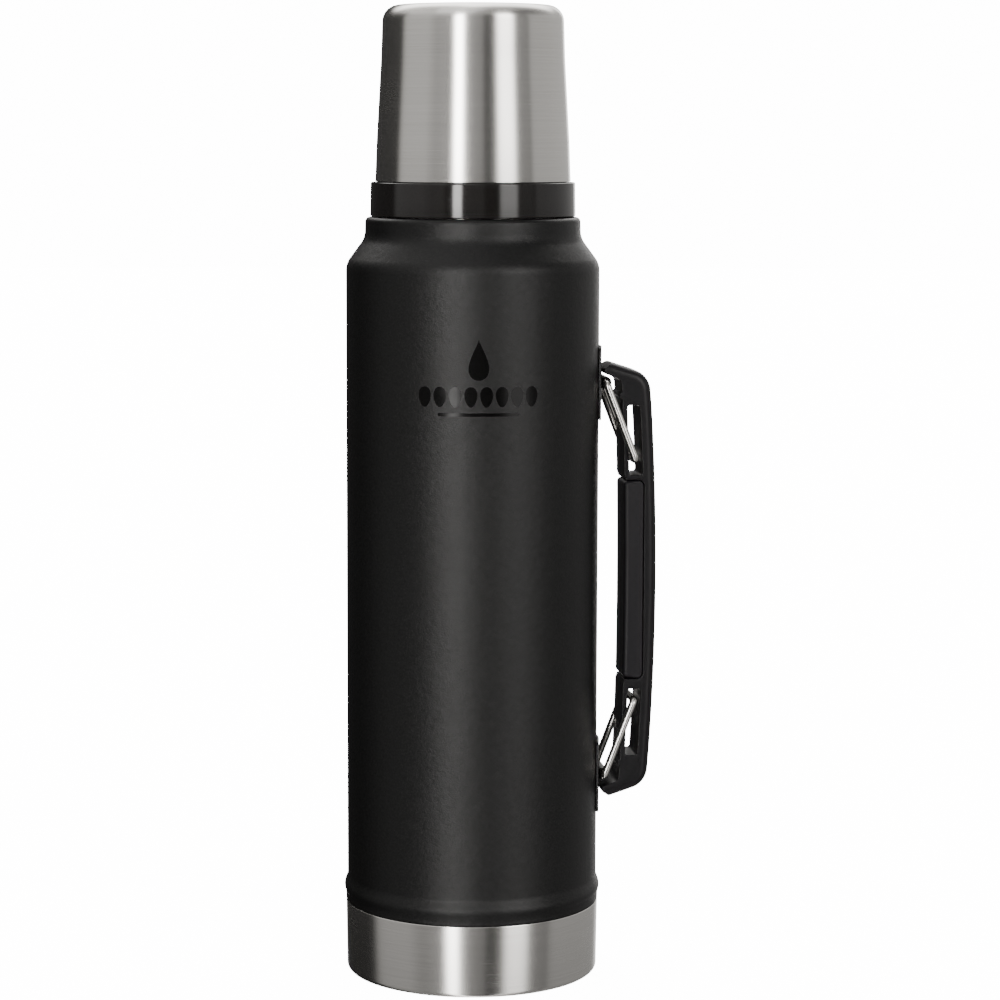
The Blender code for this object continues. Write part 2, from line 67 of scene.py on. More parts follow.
# Painted shell
COLLAR_TOP = shell_high.z
COLLAR_R = 40.2
SHOULDER_TOP = 278.4
SHOULDER_FOOT = 268.8
BODY_R = 47.4
BEAD_R = shell_high.x
BEAD_Z = 32.4
BEAD_HALF = 4.8
PAINT_LIP_R = 48.0
PAINT_EDGE = 27.4
SKIRT_R = 46.7
SKIRT_FOOT = shell_low.z
SHELL_WALL = 0.6

# Cup
CUP_TOP = cup_high.z + 1.3
CUP_FOOT = cup_low.z
BAND_FOOT = liner_foot.z

# Neck, stopper and their threads
NECK_R = 32.4
PLUG_R = 26.6
LEAD = 6.0
LEDGE_Z = 306.8                 # where the stopper's flange and the cup's ledge begin

# Handle
HANDLE_Z = (frame_low.z + frame_high.z) / 2.0
HANDLE_HALF_WIDTH = frame_high.y
HANDLE_FACE_R = frame_high.x + 0.9
GRIP_HALF = (grip_high.z - grip_low.z) / 2.0

# Wire bails, turning in the bracket knuckles
PIVOT_R = 49.3
PIVOT_UP = 74.7                 # from the handle's middle
CROSSBAR_R = 60.5
BAIL_LENGTH = 31.05
BAIL_HALF = 10.6
WIRE_R = 1.4


# Shader building ---------------------------------------------------------------------------------

class Signal:
    """An output socket. Arithmetic on it adds Math nodes to the tree it belongs to."""

    def __init__(self, book, socket):
        self.book = book
        self.socket = socket

    def math(self, operation, first, second):
        return self.book.node("ShaderNodeMath", {"operation": operation}, {0: first, 1: second})

    def __add__(self, other):
        return self.math("ADD", self, other)

    __radd__ = __add__

    def __sub__(self, other):
        return self.math("SUBTRACT", self, other)

    def __rsub__(self, other):
        return self.math("SUBTRACT", other, self)

    def __mul__(self, other):
        return self.math("MULTIPLY", self, other)

    __rmul__ = __mul__

    def __pow__(self, other):
        return self.math("POWER", self, other)


class NodeBook:
    """Adds nodes to one tree: type, settings, then the values or links of its inputs."""

    def __init__(self, tree):
        self.tree = tree

    def node(self, kind, settings=None, inputs=None, output=0):
        made = self.tree.nodes.new(kind)
        for setting, value in (settings or {}).items():
            setattr(made, setting, value)
        for socket, value in (inputs or {}).items():
            self.feed(made.inputs[socket], value)
        return Signal(self, made.outputs[output])

    def feed(self, socket, value):
        if isinstance(value, Signal):
            self.tree.links.new(value.socket, socket)
        else:
            socket.default_value = value

    def place(self):
        return self.node("ShaderNodeTexCoord", output="Object")

    def split(self, vector):
        return [self.node("ShaderNodeSeparateXYZ", inputs={0: vector}, output=i) for i in range(3)]

    def join(self, x, y, z):
        return self.node("ShaderNodeCombineXYZ", inputs={0: x, 1: y, 2: z})

    def dot(self, vector, direction):
        return self.node("ShaderNodeVectorMath", {"operation": "DOT_PRODUCT"},
                         {0: vector, 1: direction}, output="Value")

    def noise(self, vector, scale, detail=3.0, roughness=0.5):
        return self.node("ShaderNodeTexNoise", inputs={
            "Vector": vector, "Scale": scale, "Detail": detail, "Roughness": roughness})

    def spread(self, value, low, high, to_low, to_high):
        """Map a value's range onto another, smoothly and with flat ends."""
        return self.node("ShaderNodeMapRange", {"interpolation_type": "SMOOTHSTEP"}, {
            0: value, 1: low, 2: high, 3: to_low, 4: to_high})

    def blend(self, share, first, second):
        """Colour mix: first where share is 0, second where it is 1. Sockets 6 and 7 are its colours."""
        return self.node("ShaderNodeMix", {"data_type": "RGBA"}, {0: share, 6: first, 7: second}, output=2)

    def bump(self, height, strength, distance):
        return self.node("ShaderNodeBump", inputs={
            "Strength": strength, "Distance": distance, "Height": height})


class Finish(NodeBook):
    """A surface finish: constants sit on the shader's own sockets, and set() links what varies."""

    def __init__(self, name, colour, roughness, metallic=0.0, **constants):
        self.material = bpy.data.materials.new(name)
        self.material.use_nodes = True
        super().__init__(self.material.node_tree)
        self.shader = self.tree.nodes["Principled BSDF"]
        self.set("Base Color", (*colour, 1.0))
        self.set("Roughness", roughness)
        self.set("Metallic", metallic)
        for socket, value in constants.items():
            self.set(socket.replace("_", " ").title().replace("Ior", "IOR"), value)

    def set(self, socket, value):
        self.feed(self.shader.inputs[socket], value)


def tone(colour, factor):
    """The colour made darker or lighter, with its alpha."""
    return (*(channel * factor for channel in colour), 1.0)


def turned_lines(finish, along, across):
    """Noise drawn out into rings about the axis, on walls and flat ends alike."""
    x, y, z = finish.split(finish.place())
    radius = (x * x + y * y) ** 0.5
    return finish.noise(finish.join(x * along, y * along, (z - radius) * across), 1.0, 2.0, 0.6)


def powder_coat():
    """Satin black powder paint: fine grain over a soft orange peel."""
    colour = (0.0018, 0.0018, 0.0018)
    finish = Finish("powder_coat", colour, 0.4, specular_ior_level=0.28)
    place = finish.place()
    grain = finish.noise(place, 2000.0, 2.0, 0.65)
    orange_peel = finish.noise(place, 420.0, 1.0, 0.4)
    cloud = finish.noise(place, 26.0, 3.0, 0.6)
    finish.set("Base Color", finish.blend(finish.spread(grain, 0.35, 0.75, 0.0, 1.0),
                                          tone(colour, 0.7), tone(colour, 1.6)))
    finish.set("Roughness", 0.33 + grain * 0.1 + cloud * 0.04)
    finish.set("Normal", finish.bump(grain + orange_peel * 0.6, 0.5, 0.00022))
    return finish.material


def brushed_steel(name, colour, roughness, along=24.0, across=5200.0):
    """Steel brushed around the axis: fine rings in tone, gloss and relief."""
    finish = Finish(name, colour, roughness, 1.0, anisotropic=0.84, anisotropic_rotation=0.25)
    fine = turned_lines(finish, along, across)
    broad = turned_lines(finish, along * 0.5, across * 0.18)
    cloud = finish.noise(finish.place(), 35.0, 2.0)
    lines = fine * 0.75 + broad * 0.25
    finish.set("Base Color", finish.blend(finish.spread(lines, 0.3, 0.7, 0.0, 1.0),
                                          tone(colour, 0.94), tone(colour, 1.04)))
    finish.set("Roughness", roughness - 0.05 + lines * 0.06 + cloud * 0.04)
    finish.set("Normal", finish.bump(fine, 0.03, 0.00004))
    return finish.material


def drawn_wire():
    """Smooth steel wire with faint smudges."""
    colour = (0.64, 0.62, 0.59)
    finish = Finish("drawn_wire", colour, 0.22, 1.0)
    smudge = finish.noise(finish.place(), 240.0, 3.0)
    finish.set("Base Color", finish.blend(smudge, tone(colour, 0.88), tone(colour, 1.08)))
    finish.set("Roughness", 0.16 + smudge * 0.12)
    finish.set("Normal", finish.bump(smudge, 0.05, 0.0001))
    return finish.material


def gloss_plastic():
    """Polished black plastic with a light haze and rubbed rings."""
    colour = (0.0075, 0.0068, 0.0065)
    finish = Finish("gloss_plastic", colour, 0.1, specular_ior_level=0.42)
    place = finish.place()
    haze = finish.noise(place, 60.0, 4.0, 0.6)
    scuffs = turned_lines(finish, 60.0, 2600.0)
    finish.set("Base Color", finish.blend(haze, tone(colour, 0.8), tone(colour, 1.3)))
    finish.set("Roughness", 0.07 + haze * 0.06 + finish.spread(scuffs, 0.62, 0.8, 0.0, 0.06))
    finish.set("Normal", finish.bump(haze, 0.05, 0.0004))
    return finish.material


def moulded_plastic(name, colour, roughness, grain_scale=2600.0, relief=0.16):
    """Satin moulded plastic with a fine spark-eroded grain."""
    finish = Finish(name, colour, roughness, specular_ior_level=0.22)
    place = finish.place()
    grain = finish.noise(place, grain_scale, 2.0, 0.6)
    flow = finish.noise(place, 45.0, 3.0, 0.55)
    finish.set("Base Color", finish.blend(grain, tone(colour, 0.8), tone(colour, 1.25)))
    finish.set("Roughness", roughness - 0.07 + grain * 0.08 + flow * 0.07)
    finish.set("Normal", finish.bump(grain, relief, 0.00012))
    return finish.material


def silicone():
    """Dull grey seal rubber."""
    colour = (0.26, 0.26, 0.265)
    finish = Finish("silicone", colour, 0.5)
    mottle = finish.noise(finish.place(), 900.0, 3.0)
    finish.set("Base Color", finish.blend(mottle, tone(colour, 0.88), tone(colour, 1.1)))
    finish.set("Roughness", 0.42 + mottle * 0.16)
    finish.set("Normal", finish.bump(mottle, 0.1, 0.0002))
    return finish.material


def print_black():
    """Gloss ink of the emblem."""
    finish = Finish("print_black", (0.002, 0.002, 0.002), 0.2, specular_ior_level=0.12)
    haze = finish.noise(finish.place(), 300.0, 2.0)
    finish.set("Roughness", 0.14 + haze * 0.1)
    return finish.material


def cellular(name, colour, scale, roughness, metallic=0.0):
    """Foam or pressed powder: a closed-cell surface."""
    finish = Finish(name, colour, roughness, metallic)
    cells = finish.node("ShaderNodeTexVoronoi", {"feature": "F1"},
                        {"Vector": finish.place(), "Scale": scale})
    finish.set("Base Color", finish.blend(cells, tone(colour, 0.75), tone(colour, 1.1)))
    finish.set("Roughness", roughness - 0.1 + cells * 0.2)
    finish.set("Normal", finish.bump(cells, 0.4, 0.0004))
    return finish.material


# Mesh building -----------------------------------------------------------------------------------

def linked(name, data):
    """A new object in the scene that holds a mesh, curve, camera or light."""
    made = bpy.data.objects.new(name, data)
    bpy.context.scene.collection.objects.link(made)
    return made


def written(bm, mesh):
    """Turn a bmesh's faces outwards, write it into a mesh and free it."""
    bmesh.ops.recalc_face_normals(bm, faces=bm.faces)
    bm.to_mesh(mesh)
    bm.free()
    return mesh


def show(name, mesh, material, body, replaces=(), sharp=32.0):
    """Link a finished mesh in millimetres as a piece that rides on a body; sharp is in degrees."""
    mesh.transform(Matrix.Scale(MM, 4))
    mesh.validate()
    mesh.shade_smooth()
    mesh.set_sharp_from_angle(angle=math.radians(sharp))
    mesh.materials.clear()
    mesh.materials.append(material)
    piece = linked(name, mesh)
    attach(piece, body)
    if replaces:
        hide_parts(*replaces)


def filleted(corners, steps=6):
    """Points of a closed flat outline given as (a, b, fillet radius), its corners turned into arcs."""
    points = []
    count = len(corners)
    for i, (a, b, radius) in enumerate(corners):
        corner = Vector((a, b))
        back = Vector(corners[i - 1][:2]) - corner
        ahead = Vector(corners[(i + 1) % count][:2]) - corner
        half = back.angle(ahead) / 2.0
        straight = abs(half - math.pi / 2.0) < 0.01
        if radius <= 0.0 or straight:
            points.append(corner)
            continue
        longest = 0.49 * min(back.length, ahead.length)     # neighbouring arcs must not meet
        reach = min(radius / math.tan(half), longest)
        radius = reach * math.tan(half)
        centre = corner + (back.normalized() + ahead.normalized()).normalized() * (radius / math.sin(half))
        first = corner + back.normalized() * reach - centre
        last = corner + ahead.normalized() * reach - centre
        turn = first.angle_signed(last)
        for j in range(steps + 1):
            angle = -turn * j / steps
            points.append(centre + Matrix.Rotation(angle, 2) @ first)
    return [tuple(point) for point in points]


def turned_mesh(name, outline, steps=TURN_STEPS, wobble=None):
    """Closed (r, z) outline turned about the axis; points at r = 0 become poles.

    wobble(angle, r, z) is added to the radius, for ribs.
    """
    verts, faces, rings = [], [], []
    for r, z in outline:
        if r < 1e-6:
            rings.append([len(verts)])
            verts.append((0.0, 0.0, z))
            continue
        ring = []
        for i in range(steps):
            angle = math.tau * i / steps
            reach = r + (wobble(angle, r, z) if wobble else 0.0)
            ring.append(len(verts))
            verts.append((reach * math.cos(angle), reach * math.sin(angle), z))
        rings.append(ring)
    for low, high in zip(rings, rings[1:] + rings[:1]):
        if len(low) == 1 and len(high) == 1:
            continue
        for i in range(steps):
            j = (i + 1) % steps
            if len(low) == 1:
                faces.append((low[0], high[j], high[i]))
            elif len(high) == 1:
                faces.append((low[i], low[j], high[0]))
            else:
                faces.append((low[i], low[j], high[j], high[i]))
    mesh = bpy.data.meshes.new(name)
    mesh.from_pydata(verts, [], faces)
    bm = bmesh.new()
    bm.from_mesh(mesh)
    return written(bm, mesh)


def ridge_mesh(name, wall_r, foot, turns, inward=False):
    """Helical thread ridge 1 mm high, with a rounded crest and ends that fade into the wall."""
    side = -1.0 if inward else 1.0
    turn_steps, fade_steps = 96, 14
    sunk, end_sunk, end_width = 0.25, 0.05, 0.4
    steps = int(turns * turn_steps)
    upper_half = [(1.0, 0.2), (0.88, 0.5), (0.55, 0.8), (0.0, 1.05), (-sunk, 1.1)]
    section = [(rise, -dz) for rise, dz in reversed(upper_half)] + upper_half
    bm = bmesh.new()
    rings = []
    for i in range(steps + 1):
        angle = math.tau * i / turn_steps
        z = foot + LEAD * i / turn_steps
        fade = math.sin(min(1.0, i / fade_steps, (steps - i) / fade_steps) * math.pi / 2.0)
        width = end_width + (1.0 - end_width) * fade
        ring = []
        for rise, dz in section:
            out = rise * fade - end_sunk * (1.0 - fade) if rise > 0.0 else rise
            r = wall_r + side * out
            ring.append(bm.verts.new((r * math.cos(angle), r * math.sin(angle), z + dz * width)))
        rings.append(ring)
    for low, high in zip(rings, rings[1:]):
        for j in range(len(section)):
            k = (j + 1) % len(section)
            bm.faces.new((low[j], low[k], high[k], high[j]))
    bm.faces.new(rings[0])
    bm.faces.new(rings[-1])
    return written(bm, bpy.data.meshes.new(name))


def shifted(outline, offsets):
    """Outline moved sideways, point by point; positive offsets shrink an anticlockwise outline."""
    moved = []
    count = len(outline)
    sharpest = 0.4                  # limits how far a corner is thrown out
    for i, offset in enumerate(offsets):
        here = Vector(outline[i])
        back = (here - Vector(outline[i - 1])).normalized()
        ahead = (Vector(outline[(i + 1) % count]) - here).normalized()
        side = Vector((-back.y - ahead.y, back.x + ahead.x))
        side = side.normalized() if side.length > 1e-6 else Vector((-back.y, back.x))
        stretch = 1.0 / max(sharpest, side.dot(Vector((-back.y, back.x))))
        moved.append(tuple(here + side * offset * stretch))
    return moved


def anticlockwise(outline):
    """The outline, reversed if it runs clockwise."""
    area = sum(a[0] * b[1] - b[0] * a[1] for a, b in zip(outline, outline[1:] + outline[:1]))
    return outline if area > 0.0 else outline[::-1]


def slab_mesh(name, outline, half_width, edge_radius, steps=6):
    """An (x, z) outline given width along Y, its two rims rounded by edge_radius(x, z)."""
    outline = anticlockwise(outline)
    radii = [edge_radius(x, z) for x, z in outline]
    rims = []
    for i in range(steps + 1):
        angle = 0.5 * math.pi * i / steps
        loop = shifted(outline, [radius * (1.0 - math.cos(angle)) for radius in radii])
        rims.append([(x, half_width - radius * (1.0 - math.sin(angle)), z)
                     for (x, z), radius in zip(loop, radii)])
    stack = [[(x, -y, z) for x, y, z in rim] for rim in reversed(rims)] + rims
    return stacked_mesh(name, stack)


def flared_cutter(outline, half_width, flare):
    """A cutter along Y that leaves rounded rims on a wall of the given half width."""
    outline = anticlockwise(outline)
    steps, clear = 6, 2.0
    rims = []
    for i in range(steps + 1):
        angle = 0.5 * math.pi * i / steps
        loop = shifted(outline, [-flare * (1.0 - math.cos(angle))] * len(outline))
        rims.append([(x, half_width - flare + flare * math.sin(angle), z) for x, z in loop])
    rims.append([(x, y + clear, z) for x, y, z in rims[-1]])
    stack = [[(x, -y, z) for x, y, z in rim] for rim in reversed(rims)] + rims
    return stacked_mesh("cutter", stack)


def stacked_mesh(name, stack):
    """Closed skin over a stack of matching loops."""
    bm = bmesh.new()
    loops = [[bm.verts.new(point) for point in loop] for loop in stack]
    for low, high in zip(loops, loops[1:]):
        for i in range(len(low)):
            j = (i + 1) % len(low)
            bm.faces.new((low[i], low[j], high[j], high[i]))
    bm.faces.new(loops[0])
    bm.faces.new(loops[-1])
    return written(bm, bpy.data.meshes.new(name))


def wrapped_plate(name, outlines, cuts, inner_r, thickness, facing, middle_z):
    """Flat (along, up) outlines made into plates that curve round the shell at the angle facing.

    The cuts are the places along the plates where they are split, so that they can bend.
    """
    bm = bmesh.new()
    for outline in outlines:
        bm.faces.new([bm.verts.new((along, up, 0.0)) for along, up in anticlockwise(outline)])
    for cut in cuts:
        bmesh.ops.bisect_plane(bm, geom=list(bm.verts) + list(bm.edges) + list(bm.faces),
                               plane_co=(cut, 0.0, 0.0), plane_no=(1.0, 0.0, 0.0))
    pushed = bmesh.ops.extrude_face_region(bm, geom=list(bm.faces))
    outside = {item for item in pushed["geom"] if isinstance(item, bmesh.types.BMVert)}
    for vert in bm.verts:
        radius = inner_r + (thickness if vert in outside else 0.0)
        angle = facing + vert.co.x / BODY_R
        vert.co = Vector((radius * math.cos(angle), radius * math.sin(angle), middle_z + vert.co.y))
    return written(bm, bpy.data.meshes.new(name))


def evaluated(carrier):
    """The finished mesh of an object, which is then removed."""
    graph = bpy.context.evaluated_depsgraph_get()
    mesh = bpy.data.meshes.new_from_object(carrier.evaluated_get(graph))
    bpy.data.objects.remove(carrier)
    return mesh


def combined(mesh, tools, operation="DIFFERENCE"):
    """Cut tool meshes out of a mesh, or keep only what they share."""
    guides = [linked("tool_%d" % i, tool) for i, tool in enumerate(tools)]
    carrier = linked(mesh.name, mesh)
    for guide in guides:
        modifier = carrier.modifiers.new("combine", "BOOLEAN")
        modifier.operation = operation
        modifier.object = guide
        modifier.solver = "EXACT"
    result = evaluated(carrier)
    for guide in guides:
        bpy.data.objects.remove(guide)
    return result


# Flask -------------------------------------------------------------------------------------------

def build_outer_shell(material):
    """Painted wall: collar, shoulder, body, rolled bead, paint lip and the skirt inside the base."""
    collar_wall = 1.2
    neck_hole_r = NECK_R + 0.3
    inner_body_r = BODY_R - SHELL_WALL
    inner_skirt_r = SKIRT_R - SHELL_WALL
    bead = []
    for i in range(14):
        dz = 4.5 - 0.5 * i
        swell = math.cos(0.5 * math.pi * dz / BEAD_HALF) ** 2
        bead.append((BODY_R + (BEAD_R - BODY_R) * swell, BEAD_Z + dz, 0.0))
    corners = [(neck_hole_r, COLLAR_TOP, 0.2), (COLLAR_R - 0.05, COLLAR_TOP, 1.8),
               (COLLAR_R + 0.15, SHOULDER_TOP, 8.0), (BODY_R, SHOULDER_FOOT, 8.0),
               (BODY_R, BEAD_Z + BEAD_HALF, 0.0)]
    corners += bead
    corners += [(PAINT_LIP_R, PAINT_EDGE + 1.2, 2.0), (PAINT_LIP_R, PAINT_EDGE, 0.25),
                (SKIRT_R, PAINT_EDGE, 0.1), (SKIRT_R, SKIRT_FOOT, 0.1), (inner_skirt_r, SKIRT_FOOT, 0.1),
                (inner_skirt_r, PAINT_EDGE + 0.6, 0.5), (inner_body_r, PAINT_EDGE + 1.4, 0.5),
                (inner_body_r, SHOULDER_FOOT - 0.4, 4.0), (COLLAR_R - 0.9, SHOULDER_TOP - 0.4, 2.0),
                (COLLAR_R - 1.1, COLLAR_TOP - collar_wall, 0.8), (neck_hole_r, COLLAR_TOP - collar_wall, 0.1)]
    mesh = turned_mesh("painted_shell", filleted(corners, 8))
    show("painted_shell", mesh, material, "flask", ["outer_shell"])


def build_steel_base(material):
    """Foot cup, its top rim just under the paint and a shallow ring pressed into its underside."""
    wall = 0.6
    top = PAINT_EDGE - 0.3
    ring = [(33.0, 0.0), (33.6, 0.4), (34.4, 0.4), (35.0, 0.0)]
    corners = [(0.0, 0.0, 0.0)] + [(r, z, 0.3) for r, z in ring]
    corners += [(47.6, 0.0, 2.0), (47.95, top - 0.3, 0.2), (47.85, top, 0.2), (47.25, top, 0.2),
                (47.0, wall, 1.4)]
    corners += [(r, z + wall, 0.3) for r, z in reversed(ring)] + [(0.0, wall, 0.0)]
    mesh = turned_mesh("base_cup", filleted(corners, 7))
    show("base_cup", mesh, material, "flask", ["steel_base"])


def build_neck(material):
    """Bare tube with a turned-in lip, and the cup's thread on its outside."""
    lip_r = 29.0
    inner_r = NECK_R - 1.0
    lip_foot = neck_high.z - 1.4
    corners = [(inner_r, neck_low.z, 0.1), (NECK_R, neck_low.z, 0.1), (NECK_R, neck_high.z, 1.0),
               (lip_r, neck_high.z, 0.6), (lip_r, lip_foot, 0.1), (inner_r, lip_foot, 0.3)]
    tube = turned_mesh("neck_tube", filleted(corners))
    show("neck_tube", tube, material, "flask", ["neck_sleeve"])
    thread = ridge_mesh("neck_thread", NECK_R, foot=289.2, turns=2.1)
    show("neck_thread", thread, material, "flask")


def build_bracket(name, node, z, paint):
    """Curved plate with rounded corners and a knuckle that wraps the wire ends."""
    half_arc, half_height, corner_r = 13.2, 13.75, 2.2
    outline = filleted([(-half_arc, -half_height, corner_r), (half_arc, -half_height, corner_r),
                        (half_arc, half_height, corner_r), (-half_arc, half_height, corner_r)], 5)
    columns = 28
    cuts = [half_arc * (2.0 * i / columns - 1.0) for i in range(1, columns)]
    plate = wrapped_plate(name, [outline], cuts, BODY_R + 0.25, thickness=0.7, facing=0.0, middle_z=z)
    groove_outline = circle_outline(PIVOT_R, z, WIRE_R + 0.3, 40)
    groove = slab_mesh("wire_groove", groove_outline, BAIL_HALF + WIRE_R, lambda x, y: 0.2)
    show(name, combined(plate, [groove]), paint, "flask", [node])
    half_width = 7.4
    knuckle = slab_mesh(name + "_knuckle", knuckle_section(z), half_width, lambda x, y: 0.25)
    show(name + "_knuckle", knuckle, paint, "flask")


def circle_outline(x, z, radius, steps):
    """Points round a circle in the XZ plane."""
    return [(x + radius * math.cos(math.tau * i / steps), z + radius * math.sin(math.tau * i / steps))
            for i in range(steps)]


def knuckle_section(z):
    """C-shaped section round the wire, open towards the shell."""
    outer_r, inner_r = 2.4, 1.72
    reach = math.radians(118.0)
    steps = 28
    outer, inner = [], []
    for i in range(steps + 1):
        angle = -reach + 2.0 * reach * i / steps
        outer.append((PIVOT_R + outer_r * math.cos(angle), z + outer_r * math.sin(angle)))
        inner.append((PIVOT_R + inner_r * math.cos(angle), z + inner_r * math.sin(angle)))
    return outer + inner[::-1]


# Stopper -----------------------------------------------------------------------------------------

def pour_channels():
    """Cutters for the two grooves that let the drink out past the loosened plug."""
    low, high, half_width = 274.0, 300.0, 4.0
    cutters = []
    for side in (-1.0, 1.0):
        floor = side * (PLUG_R - 1.0)
        clear = side * (PLUG_R + 4.0)
        corners = [(floor, low, 2.0), (clear, low, 0.3), (clear, high, 0.3), (floor, high, 2.0)]
        cutters.append(slab_mesh("pour_channel", filleted(corners), half_width, lambda x, z: 0.25, steps=3))
    return cutters


def build_plug(plastic):
    """Hollow plug with its O-ring groove, flange, pour channels and thread."""
    foot, floor, bore = 262.0, 264.0, 24.6
    ring_low, ring_high, ring_r = 267.7, 270.3, PLUG_R - 1.2
    flange_r, flange_top = 31.2, 309.2
    corners = [(0.0, foot, 0.0), (PLUG_R, foot, 2.2), (PLUG_R, ring_low, 0.2), (ring_r, ring_low, 0.3),
               (ring_r, ring_high, 0.3), (PLUG_R, ring_high, 0.2), (PLUG_R, LEDGE_Z, 0.5),
               (flange_r, LEDGE_Z, 0.4), (flange_r, flange_top, 0.6), (bore, flange_top, 0.2),
               (bore, floor, 2.2), (0.0, floor, 0.0)]
    plug = combined(turned_mesh("stopper_plug", filleted(corners)), pour_channels())
    show("stopper_plug", plug, plastic, "stopper", ["stopper_body"])
    thread = combined(ridge_mesh("stopper_thread", PLUG_R, foot=287.0, turns=1.9), pour_channels())
    show("stopper_thread", thread, plastic, "stopper")


def build_knob(plastic):
    """Hollow knob with ribs down its side and a plain rounded top."""
    ribs, rib_height = 18, 0.6
    foot, ceiling, top = 309.6, 327.0, 330.0
    inner_r, side_r = 27.2, 28.9

    def rib(angle, r, z):
        on_side = r > side_r and z < ceiling + 0.5
        return rib_height * math.cos(angle * ribs) if on_side else 0.0

    corners = [(0.0, top, 0.0), (25.0, top, 2.0), (28.6, top - 0.8, 1.5), (29.4, ceiling, 0.8),
               (29.6, foot, 0.3), (inner_r, foot, 0.2), (inner_r, ceiling, 1.0), (0.0, ceiling, 0.0)]
    knob = turned_mesh("stopper_knob", filleted(corners), ribs * 14, rib)
    show("stopper_knob", knob, plastic, "stopper", ["stopper_cap"])


# Cup ---------------------------------------------------------------------------------------------

def build_cup_wall(steel):
    """Steel cup, upside down: a slightly bowed taper and a softly domed closed end."""
    wall, bow = 0.5, 60.0
    foot_r, top_r, dome_r = 36.4, 33.5, 20.0
    edge_drop = 0.35
    side = [(35.85, CUP_FOOT + 14.7), (35.0, CUP_FOOT + 29.7), (34.15, CUP_FOOT + 44.7)]
    corners = [(foot_r, CUP_FOOT, 0.15)] + [(r, z, bow) for r, z in side]
    corners += [(top_r, CUP_TOP - edge_drop, 6.0), (dome_r, CUP_TOP, 30.0), (0.0, CUP_TOP, 0.0),
                (0.0, CUP_TOP - wall, 0.0), (dome_r, CUP_TOP - wall, 20.0),
                (top_r - wall, CUP_TOP - wall - edge_drop, 5.5)]
    corners += [(r - wall, z, bow) for r, z in reversed(side)] + [(foot_r - wall, CUP_FOOT, 0.1)]
    mesh = turned_mesh("cup_wall", filleted(corners, 9))
    show("cup_wall", mesh, steel, "cup", ["cup_shell"])


def build_cup_lining(plastic):
    """Black lining: the band at the foot, the threaded bore, the seal's ledge and the cup's inside."""
    bore, ledge_r = 33.9, 32.7
    band_top = CUP_FOOT - 0.3
    outer_top, inner_top = CUP_TOP - 0.95, CUP_TOP - 2.2
    bend_z = 343.0                  # where the lining's wall turns towards its closed end
    corners = [(bore, BAND_FOOT, 0.4), (38.3, BAND_FOOT, 0.5), (38.1, band_top, 0.55),
               (35.55, band_top, 0.1), (35.0, 314.0, 20.0), (33.3, bend_z, 20.0), (32.85, outer_top, 5.2),
               (0.0, outer_top, 0.0), (0.0, inner_top, 0.0), (31.5, inner_top, 4.0), (32.1, bend_z, 20.0),
               (33.4, 312.0, 1.0), (ledge_r, 308.5, 0.5), (ledge_r, LEDGE_Z, 0.2), (bore, LEDGE_Z, 0.3)]
    lining = turned_mesh("cup_lining", filleted(corners, 7))
    show("cup_lining", lining, plastic, "cup", ["cup_liner"])
    thread = ridge_mesh("cup_thread", bore, foot=292.0, turns=1.6, inward=True)
    show("cup_thread", thread, plastic, "cup")


# Handle and bails --------------------------------------------------------------------------------

# Heights dz are above the handle's middle, and the lower half repeats them below it.
WINDOW_NEAR = 39.8
WINDOW_FAR = 67.4
WINDOW_SPANS = {1.0: (WINDOW_NEAR, 66.2), -1.0: (41.8, WINDOW_FAR)}    # 1 is the upper window
SEAM_R = 64.0                   # between the frame and the grip insert
LOWER_END_DROP = 1.3            # the lower end reaches this much further than the upper one


def face_r(dz):
    """Bowed outer face of the handle."""
    bow = 2.2
    return HANDLE_FACE_R - bow * (dz / WINDOW_FAR) ** 2


def handle_end(dz):
    """Height of a point of the lower half, given the same point above the middle."""
    return -dz - LOWER_END_DROP * min(1.0, max(0.0, (dz - 68.0) / 9.0))


def mirrored(half):
    """Whole outline from its upper half, in part heights."""
    lower = [(r, handle_end(dz), fillet) for r, dz, fillet in reversed(half[1:])]
    return [(r, HANDLE_Z + dz) for r, dz in filleted(half + lower, 8)]


def outer_half():
    """The bowed face and the shoulder of the upper half."""
    half = [(face_r(dz), dz, 0.0) for dz in range(0, 70, 10)]
    return half + [(face_r(66.0), 66.0, 12.0), (66.3, 77.5, 8.5)]


def frame_outline():
    """Handle frame from the side: face, horns, end blocks and the step for the grip."""
    horn = [(52.0, 82.2, 1.5), (48.8, 79.9, 0.7), (48.9, 78.2, 0.6), (55.0, 75.9, 2.4)]
    notch = [(55.4, 71.3, 0.5), (54.7, 70.5, 0.5), (54.7, 69.5, 0.5), (55.5, 68.7, 0.5)]
    inner_rail = [(56.2, 54.0, 20.0), (56.5, WINDOW_NEAR + 0.2, 0.5)]
    grip_step = [(57.2, GRIP_HALF + 0.3, 0.5), (SEAM_R + 0.25, GRIP_HALF + 0.3, 2.4)]
    return mirrored(outer_half() + horn + notch + inner_rail + grip_step)


def silhouette_outline():
    """Outside of the handle, carried straight on towards the bottle."""
    return mirrored(outer_half() + [(52.0, 82.2, 8.0), (34.0, 83.8, 4.2)])


def window_outline(side):
    """Upper or lower window from the side, behind an outer rail of even depth."""
    near_r, far_r, rail = 58.5, 57.6, 5.1
    near, far = WINDOW_SPANS[side]
    corners = [(near_r, near, 1.0), (face_r(near) - rail, near, 1.0), (face_r(54.0) - rail, 54.0, 40.0),
               (face_r(far) - rail, far, 0.9), (far_r, far, 0.9)]
    return [(r, HANDLE_Z + side * dz) for r, dz in filleted(corners, 5)]


